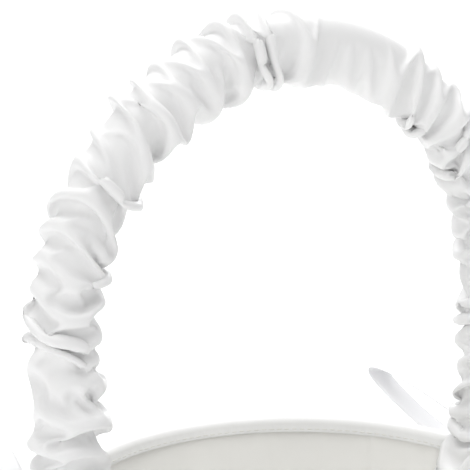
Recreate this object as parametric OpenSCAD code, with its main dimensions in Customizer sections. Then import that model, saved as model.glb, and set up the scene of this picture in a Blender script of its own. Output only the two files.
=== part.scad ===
// Flower girl basket: a tapered satin-covered bucket with a fixed padded hoop handle in a
// gathered sleeve, and a ribbon bow at each foot of the handle.
// Origin at the centre of the underside, +Z up, +X towards the right foot of the handle.

/* [Basket body] */
// Diameter of the rim, measured across its crest
rim_dia = 150; // [120:1:220]
// Diameter of the covered wall at the floor
base_dia = 120; // [80:1:180]
// Height from the floor to the crest of the rim
body_h = 102; // [70:1:160]

/* [Wall plies] */
// Thickness of each satin ply
satin_t = 0.5; // [0.3:0.1:0.8]
// Thickness of the wadding under the outer cover
wadding_t = 1.5; // [1:0.1:3]
// Thickness of the stiff shell
shell_t = 1.5; // [1:0.1:2.5]
// Width of the ledge inside the foot of the shell
ledge_w = 6; // [4:0.5:12]
// Depth of the rim binding below the top of the wall
binding_leg = 2.5; // [1.5:0.5:8]
// Thickness of the folded satin of the rim binding
binding_t = 0.6; // [0.4:0.1:1]

/* [Floor] */
// Thickness of the cover under the base
base_cover_t = 0.8; // [0.5:0.1:1.5]
// Thickness of the base board
board_t = 2; // [1.5:0.5:4]
// Width of the satin turned in under the wall
turn_in = 10; // [6:1:16]
// Height of the padded floor cushion
cushion_h = 7; // [4:0.5:14]

/* [Handle] */
// Height of the handle's centre line above the rim
handle_rise = 139; // [110:1:190]
// Lean of the handle's legs, outwards going up, in degrees
leg_lean = 2.6; // [1:0.1:6]
// Diameter of the wire hoop
wire_dia = 3.2; // [2.5:0.1:4.5]
// Outside diameter of the foam tube
foam_dia = 13; // [9:0.5:18]
// Bulk of the gathered satin around the foam
gather_t = 3; // [1:0.1:5]
// How far the sleeve reaches down the outside, below the top of the wall
sleeve_drop = 37; // [30:1:60]
// How far the sleeve reaches down the inside, below the top of the wall
flap_drop = 26; // [12:1:40]
// Width of the sleeve's inside flap
flap_w = 20; // [12:1:26]
// Thickness of the sleeve's inside flap
flap_t = 1.4; // [0.8:0.1:2.5]

/* [Handle feet] */
// Width of a foot tab
tab_w = 12; // [9:0.5:13]
// Thickness of a foot tab
tab_t = 0.9; // [0.8:0.1:1.5]
// Length of the socket that holds the wire
socket_h = 12; // [8:1:20]
// Outside diameter of the socket
socket_dia = 6; // [5:0.1:8]
// Diameter of a rivet's shank
rivet_dia = 3; // [2:0.1:4]
// Spacing of the two rivets of a foot
rivet_pitch = 8; // [7:0.5:14]

/* [Bows] */
// Width of the ribbon
ribbon_w = 10; // [6:1:16]
// Thickness of the ribbon
ribbon_t = 0.5; // [0.3:0.1:0.8]
// Depth of the bows below the rim
bow_drop = 12; // [6:1:20]
// Length of a bow's tails
tail_len = 80; // [40:1:85]
// Splay of a bow's tails, in degrees
tail_splay = 12; // [0:1:25]

/* [Clearances] */
// Gap between neighbouring plies
ply_gap = 0.1; // [0.05:0.05:0.3]
// Slack of the lining off the shell, over the rivet ends
lining_slack = 1.7; // [1.5:0.1:3]
// Gap around the wire, in its socket and its foam tube
wire_fit = 0.1; // [0.1:0.05:0.2]
// Gap around a rivet's shank, and between stacked hardware
rivet_fit = 0.1; // [0.05:0.05:0.3]
// Gap between the sleeve and what it lies on
sleeve_gap = 0.2; // [0.1:0.1:0.5]

/* [Hidden] */
$fn = 96;
far = 400;

// Wall stack, as horizontal depths inwards from the outer face of the cover
wadding_d = satin_t + ply_gap;
shell_d = wadding_d + wadding_t + ply_gap;
shell_in_d = shell_d + shell_t;
lining_top_gap = 0.3;
rim_t = shell_in_d + lining_top_gap + satin_t;
binding_r = rim_t / 2 + ply_gap + binding_t;
wall_top = body_h - binding_r;
crest_r = rim_dia / 2;
wall_top_r = crest_r + rim_t / 2;
wall_base_r = base_dia / 2;
wall_slope = (wall_top_r - wall_base_r) / wall_top;
taper = atan(wall_slope);
slack_start = binding_leg + 1;
slack_end = slack_start + 9;

// Floor stack, upwards
hem_z = base_cover_t + ply_gap;
shell_z = hem_z + satin_t + ply_gap;
board_z = shell_z + shell_t + ply_gap;
lining_z = board_z + board_t + ply_gap;
cushion_z = lining_z + satin_t + ply_gap;
board_fit = 0.3;

// Handle centre line: straight legs that run down past the rim, and an arch that they meet
wire_r = wire_dia / 2;
foam_r = foam_dia / 2;
sleeve_in_r = foam_r + 3 * ply_gap;
sleeve_r = sleeve_in_r + gather_t;
foot_x = crest_r + binding_r + wire_r + 2 * ply_gap;
apex_z = body_h + handle_rise;
arch_r = (foot_x * cos(leg_lean) + (apex_z - wall_top) * sin(leg_lean)) / (1 + sin(leg_lean));
arch_z = apex_z - arch_r;
leg_len = (arch_z - wall_top) * cos(leg_lean) - foot_x * sin(leg_lean);
joint_step = 0.05;
joint_lap = 0.5;
hem_r = tab_w / 2 + 2;
hem_lean = taper - 2.5;

// Handle feet, as distances down the wall's slope from the top of the wall
tab_top = binding_leg + 0.5;
wire_end = tab_top + socket_h - 1;
web_w = 4;
web_off = foot_x - wall_top_r + (tab_top + socket_h) * (wall_slope - tan(leg_lean));
rivet_head_dia = 2 * rivet_dia;
rivet_head_h = 0.4 * rivet_dia;
rivet_edge = rivet_head_dia / 2 + 1;
tab_len = socket_h + 2 * rivet_edge + rivet_pitch;
rivets_at = [tab_top + socket_h + rivet_edge, tab_top + socket_h + rivet_edge + rivet_pitch];
washer_dia = 8;
washer_t = 0.6;
washer_seat = shell_in_d * cos(taper) + pow(washer_dia / 2, 2) / (2 * wall_base_r) + ply_gap;

// Bows
bow_z = body_h - bow_drop;
loop_rise = 30;
bow_x = foot_x + loop_rise * tan(leg_lean) + sleeve_r + 2 * sleeve_gap;
wrap_t = 0.8;
wrap_w = 8;
wrap_gap = 0.2;
knot_room = 1.4;
loop_root = wrap_w / 2 + 2.5;
tail_drop = 8;
// Each loop: side it points to, its length, its height and its upward tilt in degrees
loops_right = [[1, 70, 14, 16], [-1, 64, 20, 8]];
loops_left = [[1, 46, 34, 55], [-1, 64, 20, 10]];

function wall_r(z) = wall_base_r + wall_slope * z;

// A ring of revolution that follows the wall, between two depths and two heights
module wall_ply(d_out, d_in, z_low, z_high) {
    rotate_extrude()
        polygon([
            [wall_r(z_low) - d_in, z_low],
            [wall_r(z_low) - d_out, z_low],
            [wall_r(z_high) - d_out, z_high],
            [wall_r(z_high) - d_in, z_high]
        ]);
}

module disc(r, z_low, h) {
    translate([0, 0, z_low])
        cylinder(r = r, h = h);
}

// Puts children at the top of the wall: X outwards, Y along the rim, Z up the slope
module on_wall() {
    translate([wall_top_r, 0, wall_top])
        rotate([0, taper, 0])
            children();
}

module both_feet() {
    for (turn = [0, 180])
        rotate([0, 0, turn])
            children();
}

// Puts children on a leg's centre line, level with the top of the wall: Z up the leg
module on_leg() {
    translate([foot_x, 0, wall_top])
        rotate([0, leg_lean, 0])
            children();
}

// A rod along the handle's centre line, down to a distance below the top of the wall. Its legs are
// a hair thicker than its arch, and lap it a little, so that the two join in one clean edge.
module along_handle(r, low) {
    translate([0, 0, arch_z])
        rotate([90, 0, 0])
            rotate([0, 0, -leg_lean])
                rotate_extrude(angle = 180 + 2 * leg_lean)
                    translate([arch_r, 0])
                        circle(r = r);
    both_feet()
        on_leg()
            translate([0, 0, -low])
                cylinder(r = r + joint_step, h = low + leg_len + joint_lap);
}

// Everything that the rim and wall take up, with room for what lies over them
module wall_room(gap) {
    leg_z = wall_top - binding_leg - gap;
    skin = ply_gap + binding_t + gap;
    rotate_extrude()
        polygon([
            [0, 0],
            [wall_r(0) + gap, 0],
            [wall_r(leg_z) + gap, leg_z],
            [wall_r(leg_z) + skin, leg_z],
            [crest_r + binding_r + gap, wall_top],
            [crest_r, wall_top],
            [crest_r, body_h + gap],
            [0, body_h + gap]
        ]);
    translate([0, 0, wall_top])
        rotate_extrude()
            translate([crest_r, 0])
                circle(r = binding_r + gap);
}

// ---- Basket body ----

module rivet_holes(extra) {
    both_feet()
        on_wall()
            for (down = rivets_at)
                translate([-shell_in_d - 2, 0, -down])
                    rotate([0, 90, 0])
                        cylinder(d = rivet_dia + 2 * extra, h = shell_in_d + 4);
}

module side_shell() {
    color("BurlyWood")
        difference() {
            union() {
                wall_ply(shell_d, shell_in_d, shell_z, wall_top);
                rotate_extrude()
                    polygon([
                        [wall_r(shell_z) - shell_in_d - ledge_w, shell_z],
                        [wall_r(shell_z) - shell_d - shell_t / 2, shell_z],
                        [wall_r(shell_z + shell_t) - shell_d - shell_t / 2, shell_z + shell_t],
                        [wall_r(shell_z) - shell_in_d - ledge_w, shell_z + shell_t]
                    ]);
            }
            rivet_holes(rivet_fit);
        }
}

module base_board() {
    color("BurlyWood")
        disc(wall_r(board_z) - shell_in_d - board_fit, board_z, board_t);
}

module side_wadding() {
    color("WhiteSmoke")
        difference() {
            wall_ply(wadding_d, wadding_d + wadding_t, shell_z, wall_top);
            rivet_holes(rivet_fit);
        }
}

module outer_cover() {
    color("White")
        difference() {
            union() {
                wall_ply(0, satin_t, hem_z, wall_top);
                translate([0, 0, hem_z])
                    difference() {
                        cylinder(r = wall_r(hem_z) - satin_t / 2, h = satin_t);
                        translate([0, 0, -1])
                            cylinder(r = wall_r(hem_z) - turn_in, h = satin_t + 2);
                    }
            }
            rivet_holes(rivet_fit);
        }
}

module base_cover() {
    color("Ivory")
        disc(wall_r(0) - 1, 0, base_cover_t);
}

module side_lining() {
    slack_d = shell_in_d + lining_slack;
    top_d = shell_in_d + lining_top_gap;
    start_z = wall_top - slack_start;
    end_z = wall_top - slack_end;
    floor_z = lining_z + satin_t;
    color("White")
        rotate_extrude()
            polygon([
                [wall_r(lining_z) - slack_d - turn_in, lining_z],
                [wall_r(lining_z) - slack_d, lining_z],
                [wall_r(end_z) - slack_d, end_z],
                [wall_r(start_z) - top_d, start_z],
                [wall_r(wall_top) - top_d, wall_top],
                [wall_r(wall_top) - top_d - satin_t, wall_top],
                [wall_r(start_z) - top_d - satin_t, start_z],
                [wall_r(end_z) - slack_d - satin_t, end_z],
                [wall_r(floor_z) - slack_d - satin_t, floor_z],
                [wall_r(floor_z) - slack_d - turn_in, floor_z]
            ]);
}

cushion_r = wall_r(cushion_z) - shell_in_d - lining_slack - satin_t - board_fit;

// A disc with a rounded edge, as a turned profile
module cushion_form(r, z_low, h) {
    edge = h / 2;
    translate([0, 0, z_low + edge]) {
        cylinder(r = r - edge, h = h, center = true);
        rotate_extrude()
            translate([r - edge, 0])
                circle(r = edge);
    }
}

module base_pad_foam() {
    skin = satin_t + ply_gap;
    color("LightYellow")
        cushion_form(cushion_r - skin, cushion_z + skin, cushion_h - 2 * skin);
}

module base_pad_cover() {
    color("White")
        difference() {
            cushion_form(cushion_r, cushion_z, cushion_h);
            cushion_form(cushion_r - satin_t, cushion_z + satin_t, cushion_h - 2 * satin_t);
        }
}

module binding_leg_ring(d_out, d_in) {
    wall_ply(d_out, d_in, wall_top - binding_leg, wall_top);
}

module rim_binding() {
    color("White") {
        translate([0, 0, wall_top])
            rotate_extrude()
                translate([crest_r, 0])
                    difference() {
                        circle(r = binding_r);
                        circle(r = binding_r - binding_t);
                        translate([-far / 2, -far])
                            square([far, far]);
                    }
        binding_leg_ring(-ply_gap - binding_t, -ply_gap);
        binding_leg_ring(rim_t + ply_gap, rim_t + ply_gap + binding_t);
    }
}

// ---- Handle ----

module handle_wire() {
    color("Silver")
        along_handle(wire_r, wire_end);
}

module handle_foam() {
    color("WhiteSmoke")
        difference() {
            along_handle(foam_r, 0);
            along_handle(wire_r + wire_fit, sleeve_drop);
            translate([-far, -far, 0])
                cube([2 * far, 2 * far, body_h + 2 * sleeve_gap]);
        }
}

// The part of the sleeve that is dressed over the rim and lies on the lining
module sleeve_flap() {
    flap_sag = flap_w * flap_w / 8 / wall_base_r;
    lay_d = shell_in_d + lining_slack + satin_t + sleeve_gap + flap_sag;
    low_z = wall_top - flap_drop;
    saddle_z = body_h + 2 * sleeve_gap;
    saddle_h = 2.5;
    rotate([90, 0, 0])
        translate([0, 0, -flap_w / 2])
            linear_extrude(height = flap_w)
                polygon([
                    [wall_r(low_z) - lay_d - flap_t, low_z],
                    [wall_r(low_z) - lay_d, low_z],
                    [wall_r(saddle_z) - lay_d, saddle_z],
                    [crest_r + 1, saddle_z],
                    [crest_r + 1, saddle_z + saddle_h],
                    [wall_r(saddle_z) - lay_d, saddle_z + saddle_h],
                    [wall_r(saddle_z) - lay_d - flap_t, saddle_z]
                ]);
}
module tab_room() {
    on_wall()
        translate([-1, -tab_w / 2 - sleeve_gap, -tab_top - tab_len - sleeve_gap])
            cube([1 + tab_t + rivet_head_h + 2 * sleeve_gap, tab_w + 2 * sleeve_gap, tab_top + tab_len]);
    on_wall()
        translate([-1, -web_w / 2 - sleeve_gap, -tab_top - socket_h - sleeve_gap])
            cube([1 + wire_fit + web_off + sleeve_gap, web_w + 2 * sleeve_gap, socket_h + 2 * sleeve_gap]);
}

// The sleeve's gathered end outside the wall, narrower at the hem
module sleeve_end() {
    translate([foot_x, 0, wall_top])
        rotate([0, hem_lean, 0])
            translate([0, 0, -sleeve_drop])
                cylinder(r1 = hem_r, r2 = sleeve_r, h = sleeve_drop);
}

module handle_sleeve() {
    socket_room = tab_top + socket_h + 4 * sleeve_gap;
    color("White")
        difference() {
            union() {
                difference() {
                    union() {
                        along_handle(sleeve_r, 0);
                        both_feet()
                            sleeve_end();
                    }
                    wall_room(sleeve_gap);
                }
                both_feet()
                    sleeve_flap();
            }
            along_handle(sleeve_in_r, 0);
            both_feet() {
                tab_room();
                on_leg()
                    translate([0, 0, -socket_room])
                        cylinder(d = socket_dia + 2 * sleeve_gap, h = socket_room + 1);
            }
        }
}

module handle_tab() {
    color("Silver")
        difference() {
            union() {
                on_wall() {
                    translate([wire_fit, -tab_w / 2, -tab_top - tab_len])
                        cube([tab_t, tab_w, tab_len]);
                    translate([wire_fit, -web_w / 2, -tab_top - socket_h])
                        cube([web_off, web_w, socket_h]);
                }
                on_leg()
                    translate([0, 0, -tab_top - socket_h])
                        cylinder(d = socket_dia, h = socket_h);
            }
            on_wall()
                translate([wire_fit - far, -far / 2, -far / 2])
                    cube([far, far, far]);
            on_leg()
                translate([0, 0, -tab_top - socket_h - 1])
                    cylinder(r = wire_r + joint_step + wire_fit, h = socket_h + 2);
            on_wall()
                for (down = rivets_at)
                    translate([-1, 0, -down])
                        rotate([0, 90, 0])
                            cylinder(d = rivet_dia + 2 * rivet_fit, h = tab_t + 4);
        }
}

module handle_tab_right() {
    handle_tab();
}

module handle_tab_left() {
    rotate([0, 0, 180])
        handle_tab();
}

module rivet() {
    head_x = wire_fit + tab_t + rivet_fit / 2;
    tail_x = -washer_seat - washer_t - rivet_fit / 2;
    rotate([0, 90, 0]) {
        translate([0, 0, tail_x])
            cylinder(d = rivet_dia, h = head_x - tail_x);
        translate([0, 0, head_x])
            cylinder(d1 = rivet_head_dia, d2 = rivet_head_dia / 2, h = rivet_head_h);
        translate([0, 0, tail_x - washer_t])
            cylinder(d = 1.5 * rivet_dia, h = washer_t);
    }
}

module handle_rivets() {
    color("Silver")
        both_feet()
            on_wall()
                for (down = rivets_at)
                    translate([0, 0, -down])
                        rivet();
}

module rivet_washers() {
    color("Silver")
        both_feet()
            on_wall()
                for (down = rivets_at)
                    translate([-washer_seat - washer_t, 0, -down])
                        rotate([0, 90, 0])
                            difference() {
                                cylinder(d = washer_dia - 0.5, h = washer_t);
                                translate([0, 0, -1])
                                    cylinder(d = rivet_dia + 2 * rivet_fit, h = washer_t + 2);
                            }
}

// ---- Bows ----

// Outline of a ribbon loop: an egg, fuller near the knot, that starts at the origin
function loop_outline(long, high) = [
    for (a = [0:10:350])
        [long / 2 * (1 - cos(a)), high / 2 * sin(a) * (1 + 0.25 * cos(a))]
];

module bow_frame() {
    translate([bow_x, 0, bow_z])
        children();
}

// A loop drawn in the plane of the bow and given the ribbon's width outwards
module ribbon_loop(side, long, high, tilt) {
    rotate([90, 0, 90])
        linear_extrude(height = ribbon_w)
            mirror([side < 0 ? 1 : 0, 0])
                translate([loop_root, knot_room / 2])
                    rotate([0, 0, tilt])
                        difference() {
                            polygon(loop_outline(long, high));
                            translate([ribbon_t, 0])
                                polygon(loop_outline(long - 2 * ribbon_t, high - 2 * ribbon_t));
                        }
}

module bow_loops(loops) {
    color("White")
        bow_frame() {
            for (l = loops)
                ribbon_loop(l[0], l[1], l[2], l[3]);
            translate([0, -loop_root - ribbon_t / 2, wrap_gap])
                cube([ribbon_w, 2 * loop_root + ribbon_t, knot_room - wrap_gap]);
        }
}

// One tail: a straight drop beside the knot, then a splayed strip with a slanted end
module bow_tail() {
    translate([0, 0, -tail_drop])
        cube([ribbon_w, ribbon_t, tail_drop - wrap_gap]);
    translate([0, ribbon_t / 2, -tail_drop + ribbon_t])
        rotate([tail_splay, 0, 0])
            rotate([-90, 0, 0])
                translate([0, 0, -ribbon_t / 2])
                    linear_extrude(height = ribbon_t)
                        polygon([
                            [0, 0],
                            [ribbon_w, 0],
                            [ribbon_w, tail_len - tail_drop - ribbon_w],
                            [0, tail_len - tail_drop]
                        ]);
}

module bow_tails() {
    tail_y = wrap_w / 2 + wrap_gap;
    color("White")
        bow_frame() {
            translate([0, -tail_y - ribbon_t, -knot_room])
                cube([ribbon_w, 2 * (tail_y + ribbon_t), knot_room - wrap_gap]);
            for (flip = [0, 1])
                mirror([0, flip, 0])
                    translate([0, tail_y, 0])
                        bow_tail();
        }
}

module bow_wrap() {
    room_z = knot_room + wrap_gap;
    out_z = room_z + wrap_t;
    room_x = wrap_gap;
    color("White")
        bow_frame()
            difference() {
                translate([-room_x - wrap_t, -wrap_w / 2, -out_z])
                    cube([ribbon_w + 2 * (room_x + wrap_t), wrap_w, 2 * out_z]);
                translate([-room_x, -wrap_w, -room_z])
                    cube([ribbon_w + 2 * room_x, 2 * wrap_w, 2 * room_z]);
            }
}

module on_left() {
    mirror([1, 0, 0])
        children();
}

module bow_loops_right() {
    bow_loops(loops_right);
}

module bow_tails_right() {
    bow_tails();
}

module bow_wrap_right() {
    bow_wrap();
}

module bow_loops_left() {
    on_left()
        bow_loops(loops_left);
}

module bow_tails_left() {
    on_left()
        bow_tails();
}

module bow_wrap_left() {
    on_left()
        bow_wrap();
}

side_shell();
base_board();
side_wadding();
outer_cover();
base_cover();
side_lining();
base_pad_foam();
base_pad_cover();
rim_binding();
handle_wire();
handle_foam();
handle_sleeve();
handle_tab_left();
handle_tab_right();
handle_rivets();
rivet_washers();
bow_loops_left();
bow_tails_left();
bow_wrap_left();
bow_loops_right();
bow_tails_right();
bow_wrap_right();
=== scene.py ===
import math

import bmesh
import bpy
import numpy as np
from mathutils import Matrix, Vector


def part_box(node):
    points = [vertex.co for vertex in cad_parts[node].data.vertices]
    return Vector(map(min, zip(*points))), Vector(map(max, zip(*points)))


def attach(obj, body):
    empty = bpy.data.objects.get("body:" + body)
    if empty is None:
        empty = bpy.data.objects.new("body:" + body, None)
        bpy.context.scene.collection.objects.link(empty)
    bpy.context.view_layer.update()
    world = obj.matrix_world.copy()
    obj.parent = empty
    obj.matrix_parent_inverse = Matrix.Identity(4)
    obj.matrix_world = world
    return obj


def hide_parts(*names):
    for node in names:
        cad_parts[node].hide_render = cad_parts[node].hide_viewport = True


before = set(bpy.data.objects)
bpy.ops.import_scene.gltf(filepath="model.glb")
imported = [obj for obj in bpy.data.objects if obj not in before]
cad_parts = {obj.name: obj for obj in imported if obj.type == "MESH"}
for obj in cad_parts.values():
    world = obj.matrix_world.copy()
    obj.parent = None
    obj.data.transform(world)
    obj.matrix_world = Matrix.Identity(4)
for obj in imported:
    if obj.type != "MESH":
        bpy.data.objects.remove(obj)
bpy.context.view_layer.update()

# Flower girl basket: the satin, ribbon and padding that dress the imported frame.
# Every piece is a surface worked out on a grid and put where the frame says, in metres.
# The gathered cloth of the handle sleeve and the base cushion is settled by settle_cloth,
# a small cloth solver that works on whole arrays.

bl_info = {
    "name": "Flower girl basket dressing",
    "version": (1, 0, 0),
    "blender": (4, 5, 0),
    "location": "View3D > Sidebar > Basket",
    "description": "Dresses the frame of a flower girl basket in satin, ribbon and padding",
    "category": "Object",
}

ROOT = "root"
MM = 0.001

# The cloth's stiffness springs: each is rows apart and grip.
SLEEVE_BEND = ((2, 0.12), (4, 0.08))
CUSHION_BEND = ((2, 0.04),)
LONGEST_STEP = 0.25 * MM

# The wall's thickness from the outer cover to the board's inner face, and the lining's room inside that.
WALL_STACK = 3.7 * MM
LINING_ROOM = 2.4 * MM
SEAM_AT = math.radians(31)

# The camera: how it is turned about Z and dipped, how far it stands off the middle and back from the
# handle's plane, and how high it is over the rim. FOCAL, ACROSS and UP are in shares of FRAME_SIDE.
TURN, DIP = 0.64, 0.15
OFF, BACK, RISE = 8.39 * MM, 400 * MM, 136.7 * MM
FRAME_SIDE, FOCAL, ACROSS, UP = 470, 1314.6, 273.9, 243
SENSOR = 36


# ---- What the frame gives ----

def node_points(node):
    """The corner points of a frame node's mesh, as an array of X, Y, Z."""
    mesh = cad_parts[node].data
    flat = np.empty(len(mesh.vertices) * 3)
    mesh.vertices.foreach_get("co", flat)
    return flat.reshape(-1, 3)


def widest(points, low, high):
    """The largest distance from the Z axis among the points between two heights."""
    rows = points[(points[:, 2] >= low) & (points[:, 2] <= high)]
    return float(np.hypot(rows[:, 0], rows[:, 1]).max())


def reach(node, end, axis):
    """One side of a node's box: end 0 or 1, axis 0, 1 or 2."""
    return float(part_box(node)[end][axis])


COVER = node_points("outer_cover")
COVER_LOW = reach("outer_cover", 0, 2)
WALL_TOP = reach("outer_cover", 1, 2)
COVER_TOP_R = widest(COVER, WALL_TOP - MM, WALL_TOP)
COVER_LOW_R = widest(COVER, COVER_LOW, COVER_LOW + MM)
SLOPE = (COVER_TOP_R - COVER_LOW_R) / (WALL_TOP - COVER_LOW)
RIM_Z = reach("rim_binding", 1, 2)
BINDING_R = RIM_Z - WALL_TOP
BINDING_LOW = reach("rim_binding", 0, 2)
CREST_R = reach("rim_binding", 1, 0) - BINDING_R
LINING_LOW = reach("side_lining", 0, 2)
WIRE_R = reach("handle_wire", 1, 1)
FOAM_R = reach("handle_foam", 1, 1)
ARCH_R = reach("handle_foam", 1, 0) - FOAM_R
ARCH_Z = reach("handle_wire", 1, 2) - WIRE_R - ARCH_R


# ---- Sizes and colours that can be changed ----

def length(name, description, default):
    """A length property in metres."""
    return bpy.props.FloatProperty(
        name=name, description=description, default=default, unit="LENGTH", subtype="DISTANCE", precision=5
    )


def share(name, description, default, top=1.0):
    """A plain number property from nought to top."""
    return bpy.props.FloatProperty(name=name, description=description, default=default, min=0.0, max=top)


def colour(name, description, default):
    """A colour property."""
    return bpy.props.FloatVectorProperty(
        name=name, description=description, default=default, size=3, min=0.0, max=1.0, subtype="COLOR"
    )


class BodySizes(bpy.types.PropertyGroup):
    """Sizes of the covered body."""

    cloth_t: length("Cloth thickness", "Thickness of the satin", 0.3 * MM)
    turn_in: length("Turn-in", "Cloth turned in under the base", 9 * MM)
    pucker: length("Cover pucker", "Depth of the soft puckers below the binding", 0.45 * MM)
    wall_stack: length("Wall thickness", "Outer cover to the board face that the lining hangs on", WALL_STACK)
    slack: length("Lining slack", "How far the lining may stand off the wall", 1.5 * MM)
    cushion_rings: bpy.props.IntProperty(
        name="Cushion rings", description="Rings in the cushion's grid", default=72
    )
    cushion_fullness: share("Cushion fullness", "Cloth across the cushion, over its finished size", 1.09, 2.0)


class SleeveSizes(bpy.types.PropertyGroup):
    """Sizes of the gathered handle sleeve."""

    around: length("Cloth around", "Width of the cloth strip before it is closed into a tube", 62 * MM)
    gather: share("Gather", "Cloth length over the length it is pushed up to", 1.6, 3.0)
    pitch: length("Fold pitch", "Distance between gathers along the handle", 8.2 * MM)
    fold: length("Fold height", "Half height of a gather before it settles", 2.1 * MM)
    droop: length("Fold droop", "How far a gather's crest hangs over the one below", 1.3 * MM)
    smooth_at: share("Smooth stretch", "Where the ungathered stretch is, as a share of the handle", 0.545)
    smooth_half: length("Half of the smooth stretch", "Half the length of the ungathered stretch", 17 * MM)
    slant: share("Slant", "How far the gathers run slantwise, in radians of phase", 2.2, 4.0)
    snug: share("Snug", "Share of the cloth taken into a pleat behind the smooth stretch", 0.14)
    outer_drop: length("Outer drop", "How far the sleeve reaches down the outside of the wall", 37 * MM)
    inner_drop: length("Inner drop", "How far the sleeve reaches down the inside of the wall", 26 * MM)
    lean: bpy.props.FloatProperty(
        name="Leg lean", description="Lean of the handle's legs", default=math.radians(2.6), subtype="ANGLE"
    )
    columns: bpy.props.IntProperty(name="Columns", description="Grid columns around the sleeve", default=64)
    rows: bpy.props.IntProperty(name="Rows", description="Grid rows along the sleeve", default=704)
    rounds: bpy.props.IntProperty(name="Rounds", description="Rounds of the cloth solver", default=220)


class RibbonSizes(bpy.types.PropertyGroup):
    """Sizes of the ribbon bows."""

    width: length("Ribbon width", "Width of the ribbon", 10 * MM)
    thick: length("Ribbon thickness", "Thickness of the ribbon", 0.28 * MM)
    cup: length("Cupping", "How far the ribbon's middle stands off its edges", 0.35 * MM)


class Finishes(bpy.types.PropertyGroup):
    """Colours of the cloth, padding and metal."""

    satin: colour("Satin", "White satin of the body and sleeve", (0.800, 0.805, 0.800))
    satin_cool: colour("Satin, cool tone", "Tone that the satin drifts to", (0.765, 0.785, 0.800))
    ribbon: colour("Ribbon", "White satin ribbon of the bows", (0.790, 0.795, 0.820))
    thread: colour("Thread", "Sewing thread", (0.88, 0.87, 0.83))
    board: colour("Board", "Grey board of the wall and base", (0.46, 0.41, 0.34))
    wadding: colour("Wadding", "Polyester wadding", (0.90, 0.90, 0.88))
    foam: colour("Foam", "Foam of the handle and base", (0.86, 0.84, 0.76))
    steel: colour("Steel", "Wire, tabs and rivets", (0.60, 0.61, 0.62))
    floor: colour("Floor", "Pale floor and backdrop", (0.99, 0.99, 0.99))


# ---- Meshes from grids ----

def grid_faces(rows, columns, closed):
    """Corners of each face of a grid as (face, corner, row and column).

    A closed grid joins its last column to its first.
    """
    i, j = np.meshgrid(np.arange(rows - 1), np.arange(columns if closed else columns - 1), indexing="ij")
    i, j = i.ravel(), j.ravel()
    corners = [(i, j), (i, j + 1), (i + 1, j + 1), (i + 1, j)]
    return np.stack([np.stack(c, -1) for c in corners], 1)


def grid_piece(name, points, cloth, closed=True, keep=None, flip=False, weld=False):
    """A mesh object through a grid of points.

    points is (rows, columns, 3); cloth is the flat size (along the rows, along the columns),
    which the UV map holds in metres; keep picks faces by row and column; flip turns the faces
    over; weld joins points that lie together, for poles.
    """
    rows, columns = points.shape[:2]
    faces = grid_faces(rows, columns, closed)
    if keep is not None:
        faces = faces[keep[faces[:, 0, 0], faces[:, 0, 1]]]
    if flip:
        faces = faces[:, ::-1]
    ids = faces[..., 0] * columns + faces[..., 1] % columns
    used, ids = np.unique(ids, return_inverse=True)
    ids = ids.reshape(-1, 4)
    mesh = bpy.data.meshes.new(name)
    mesh.from_pydata(points.reshape(-1, 3)[used].tolist(), [], ids.tolist())
    steps = np.array([cloth[0] / (rows - 1), cloth[1] / (columns if closed else columns - 1)])
    layer = mesh.uv_layers.new(name="UVMap")
    layer.data.foreach_set("uv", (faces.reshape(-1, 2) * steps).astype(np.float32).ravel())
    if weld:
        work = bmesh.new()
        work.from_mesh(mesh)
        bmesh.ops.remove_doubles(work, verts=work.verts, dist=1e-6)
        bmesh.ops.dissolve_degenerate(work, edges=work.edges, dist=1e-7)
        work.to_mesh(mesh)
        work.free()
    mesh.shade_smooth()
    piece = bpy.data.objects.new(name, mesh)
    bpy.context.scene.collection.objects.link(piece)
    return piece


def give_thickness(piece, thick, offset=-1.0):
    """Gives a cloth surface its thickness, inwards by default."""
    shell = piece.modifiers.new("Thickness", "SOLIDIFY")
    shell.thickness = thick
    shell.offset = offset
    shell.use_even_offset = False


def dress(piece, finish, slot, *nodes):
    """Gives a piece its finish, lets it ride on the frame and stand for frame nodes; slot is not used."""
    piece.data.materials.append(finish)
    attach(piece, ROOT)
    if nodes:
        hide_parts(*nodes)


def ease(x, low, high):
    """A smooth step from 0 at low to 1 at high."""
    t = np.clip((x - low) / (high - low), 0, 1)
    return t * t * (3 - 2 * t)


def ripple(angle, waves, seed):
    """The mean of sin(w angle + phase) over the whole counts w in waves; the phases come from the seed."""
    phases = np.random.default_rng(seed).uniform(0, 2 * np.pi, len(waves))
    return sum(np.sin(w * angle + p) for w, p in zip(waves, phases)) / len(waves)


def cover_r(z):
    """Radius of the cover's outside at a height: a straight line from its lower edge to the rim."""
    return COVER_LOW_R + SLOPE * (z - COVER_LOW)


def spaced(points, count, axes=None):
    """A path's points spread evenly along its length, which is measured on the first axes of the points."""
    steps = np.linalg.norm(np.diff(points[:, :axes], axis=0), axis=1)
    along = np.concatenate([[0], np.cumsum(steps)])
    at = np.linspace(0, along[-1], count)
    return np.stack([np.interp(at, along, points[:, k]) for k in range(points.shape[1])], -1)


def softened(points, rounds):
    """A path smoothed by moving each inner point to the middle of its neighbours, several times."""
    path = points.copy()
    for _ in range(rounds):
        path[1:-1] = 0.5 * path[1:-1] + 0.25 * (path[:-2] + path[2:])
    return path


def ring_angles(count):
    """Even angles round a full turn, the first at nought."""
    return np.arange(count) * 2 * np.pi / count


def round_axis(radius, angle, height):
    """Points round the Z axis: (radius cos angle, radius sin angle, height)."""
    return np.stack([radius * np.cos(angle), radius * np.sin(angle), height], -1)


# ---- The cloth solver ----

def lengths(moves):
    """The length of each vector, kept just above nought."""
    return np.sqrt(np.einsum("...k,...k->...", moves, moves)) + 1e-12


def pull(a, b, rest, stretch, squeeze):
    """Half of the move that brings each pair of points to its rest distance.

    It is times stretch where the pair is too long and times squeeze where it is too short.
    """
    gap = b - a
    size = lengths(gap)
    grip = np.where(size > rest, stretch, squeeze)
    return gap * (0.5 * grip * (size - rest) / size)[..., None]


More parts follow.
